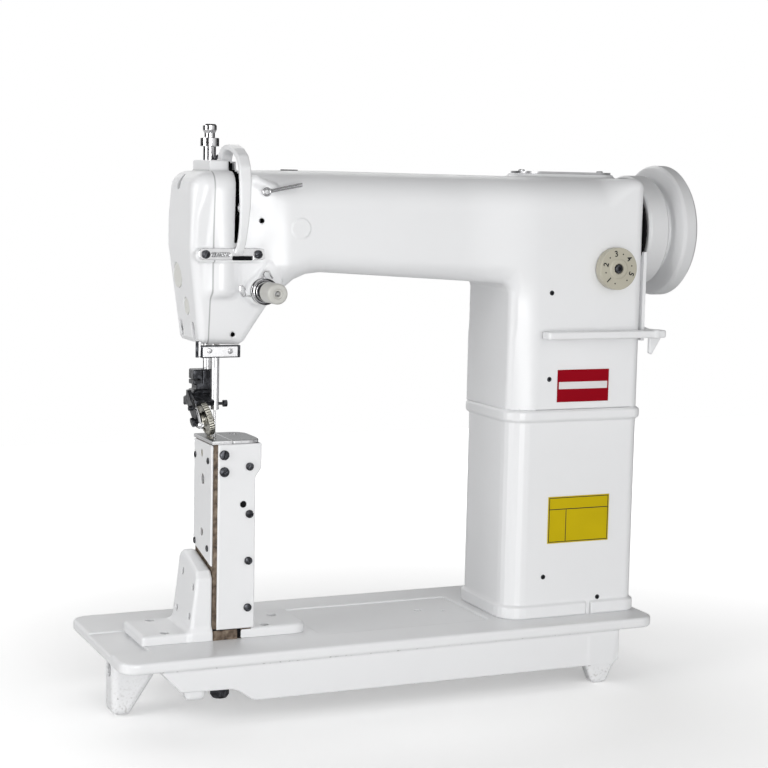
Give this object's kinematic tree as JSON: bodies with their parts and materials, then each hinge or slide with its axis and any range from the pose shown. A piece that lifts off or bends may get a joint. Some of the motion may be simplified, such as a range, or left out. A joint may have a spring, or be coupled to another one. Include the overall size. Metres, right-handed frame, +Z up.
{
  "type": "leather sewing machine",
  "caption": "Post-bed sewing machine for leather: cast arm and bed, tall post with hook and feed wheel, roller presser, handwheel and stitch dial.",
  "frame": {"origin": "bottom centre of the whole machine, on the plane of its feet", "axes": "+X along the arm from the needle towards the handwheel, +Y from the operator towards the back, +Z up the post and the pillar"},
  "size_m": [0.56, 0.178, 0.5085],
  "materials": {
    "white_paint": "gloss",
    "bright_steel": "polished",
    "ground_steel": "ground",
    "black_steel": "blackened",
    "raw_iron": "rough",
    "bronze": "turned",
    "beige_plastic": "satin",
    "grey_plastic": "satin",
    "white_plastic": "gloss",
    "black_rubber": "matte",
    "red_plate": "satin",
    "yellow_plate": "satin"
  },
  "bodies": {
    "machine_frame": {"bed_casting": "white_paint", "riser_casting": "white_paint", "arm_casting": "white_paint", "face_plate": "white_paint", "face_plate_plugs": "white_plastic", "cover_screws": "black_steel", "top_cover_plate": "bright_steel", "arm_oil_plug": "black_rubber", "side_plate": "white_paint", "name_plate": "red_plate", "info_plate": "yellow_plate", "pillar_set_screws": "black_steel", "post_body": "raw_iron", "post_front_cover": "white_paint", "post_left_cover": "white_paint", "post_foot": "white_paint", "post_screws": "black_steel", "needle_plate": "ground_steel", "bobbin_case": "ground_steel", "shaft_bushes": "bronze", "timing_belt": "black_rubber", "needle_bar_bushes": "bronze", "take_up_guard": "white_paint", "tension_stud": "bright_steel", "tension_discs": "bright_steel", "thread_guide_plate": "bright_steel", "wire_thread_guide": "bright_steel", "needle_bar_guide": "bright_steel"},
    "main_shaft": {"upper_shaft": "ground_steel", "upper_belt_pulley": "ground_steel", "counterweight_crank": "ground_steel", "handwheel": "white_paint", "feed_eccentric": "ground_steel"},
    "lower_shaft": {"lower_shaft": "ground_steel", "lower_bevel_gear": "ground_steel", "lower_belt_pulley": "ground_steel"},
    "hook": {"hook_shaft": "ground_steel", "hook_bevel_pinion": "ground_steel", "hook_body": "ground_steel"},
    "bobbin": {"bobbin": "ground_steel"},
    "feed_wheel": {"feed_wheel": "ground_steel"},
    "feed_drive": {"feed_drive_gear": "ground_steel"},
    "needle_bar": {"needle_bar": "bright_steel", "needle_bar_collar": "black_steel", "needle_clamp_screw": "black_steel", "needle": "bright_steel"},
    "needle_link": {"needle_link": "ground_steel"},
    "take_up": {"take_up_lever": "bright_steel"},
    "presser_bar": {"presser_bar": "bright_steel", "roller_bracket": "black_steel", "presser_spring": "ground_steel"},
    "presser_roller": {"presser_roller": "bright_steel"},
    "presser_lifter": {"presser_lifter": "ground_steel"},
    "pressure_screw": {"pressure_screw": "bright_steel"},
    "tension_knob": {"tension_knob": "grey_plastic"},
    "check_spring": {"check_spring": "bright_steel"},
    "stitch_dial": {"stitch_dial": "beige_plastic"},
    "reverse_lever": {"reverse_lever": "white_paint"},
    "hook_cover": {"hook_cover": "ground_steel"}
  },
  "joints": [
    {"name": "main_shaft_spin", "type": "hinge", "parent": "machine_frame", "child": "main_shaft", "pos_m": [0.02, -0.008, 0.42], "axis": [1, 0, 0], "continuous": true},
    {"name": "lower_shaft_spin", "type": "hinge", "parent": "machine_frame", "child": "lower_shaft", "pos_m": [0.02, -0.008, 0.028], "axis": [1, 0, 0], "continuous": true},
    {"name": "hook_spin", "type": "hinge", "parent": "machine_frame", "child": "hook", "pos_m": [-0.1605, -0.008, 0.12], "axis": [0, 0, 1], "continuous": true},
    {"name": "bobbin_spin", "type": "hinge", "parent": "machine_frame", "child": "bobbin", "pos_m": [-0.1605, -0.008, 0.225], "axis": [0, 0, 1], "continuous": true},
    {"name": "feed_wheel_spin", "type": "hinge", "parent": "machine_frame", "child": "feed_wheel", "pos_m": [-0.18, -0.008, 0.2218], "axis": [1, 0, 0], "continuous": true},
    {"name": "feed_drive_spin", "type": "hinge", "parent": "machine_frame", "child": "feed_drive", "pos_m": [-0.18, -0.011, 0.1992], "axis": [1, 0, 0], "continuous": true},
    {"name": "needle_bar_slide", "type": "slide", "parent": "machine_frame", "child": "needle_bar", "axis": [0, 0, 1], "range_m": [0, 0.032]},
    {"name": "needle_link_swing", "type": "hinge", "parent": "needle_bar", "child": "needle_link", "pos_m": [-0.1605, -0.008, 0.36], "axis": [1, 0, 0], "range_deg": [0, 21]},
    {"name": "take_up_swing", "type": "hinge", "parent": "machine_frame", "child": "take_up", "pos_m": [-0.167, 0.019, 0.413], "axis": [-1, 0, 0], "range_deg": [0, 12]},
    {"name": "presser_bar_slide", "type": "slide", "parent": "machine_frame", "child": "presser_bar", "axis": [0, 0, 1], "range_m": [0, 0.007], "deforming": ["presser_spring"]},
    {"name": "presser_lift", "type": "hinge", "parent": "machine_frame", "child": "presser_lifter", "pos_m": [-0.155, 0.043, 0.36], "axis": [0, 1, 0], "range_deg": [0, 60]},
    {"name": "roller_spin", "type": "hinge", "parent": "presser_bar", "child": "presser_roller", "pos_m": [-0.183, -0.008, 0.2523], "axis": [0.9659, 0, 0.2588], "continuous": true},
    {"name": "pressure_screw_turn", "type": "hinge", "parent": "machine_frame", "child": "pressure_screw", "pos_m": [-0.175, 0.0136, 0.46], "axis": [0, 0, 1], "range_deg": [-360, 360]},
    {"name": "tension_knob_turn", "type": "hinge", "parent": "machine_frame", "child": "tension_knob", "pos_m": [-0.1457, -0.074, 0.366], "axis": [0, -1, 0], "range_deg": [-360, 360]},
    {"name": "check_spring_swing", "type": "hinge", "parent": "machine_frame", "child": "check_spring", "pos_m": [-0.1457, -0.049, 0.366], "axis": [0, 1, 0], "range_deg": [0, 35], "stiffness_Nm_per_rad": 0.02, "springref_deg": -17.19},
    {"name": "stitch_dial_turn", "type": "hinge", "parent": "machine_frame", "child": "stitch_dial", "pos_m": [0.195, -0.064, 0.386], "axis": [0, -1, 0], "range_deg": [-145, 145]},
    {"name": "reverse_lever_press", "type": "hinge", "parent": "machine_frame", "child": "reverse_lever", "pos_m": [0.234, -0.017, 0.326], "axis": [1, 0, 0], "range_deg": [0, 12], "stiffness_Nm_per_rad": 1.2, "springref_deg": -14.32},
    {"name": "hook_cover_slide", "type": "slide", "parent": "machine_frame", "child": "hook_cover", "axis": [1, 0, 0], "range_m": [0, 0.025]}
  ],
  "couplings": [
    {"joint": "lower_shaft_spin", "follows": "main_shaft_spin", "ratio": 1},
    {"joint": "hook_spin", "follows": "main_shaft_spin", "ratio": -2},
    {"joint": "feed_wheel_spin", "follows": "main_shaft_spin", "ratio": -0.05},
    {"joint": "feed_drive_spin", "follows": "main_shaft_spin", "ratio": 0.090625},
    {"joint": "needle_link_swing", "follows": "needle_bar_slide", "rad_per_m": 11.181},
    {"joint": "take_up_swing", "follows": "needle_bar_slide", "rad_per_m": 6.2723},
    {"joint": "presser_lift", "follows": "presser_bar_slide", "rad_per_m": 147.11}
  ]
}
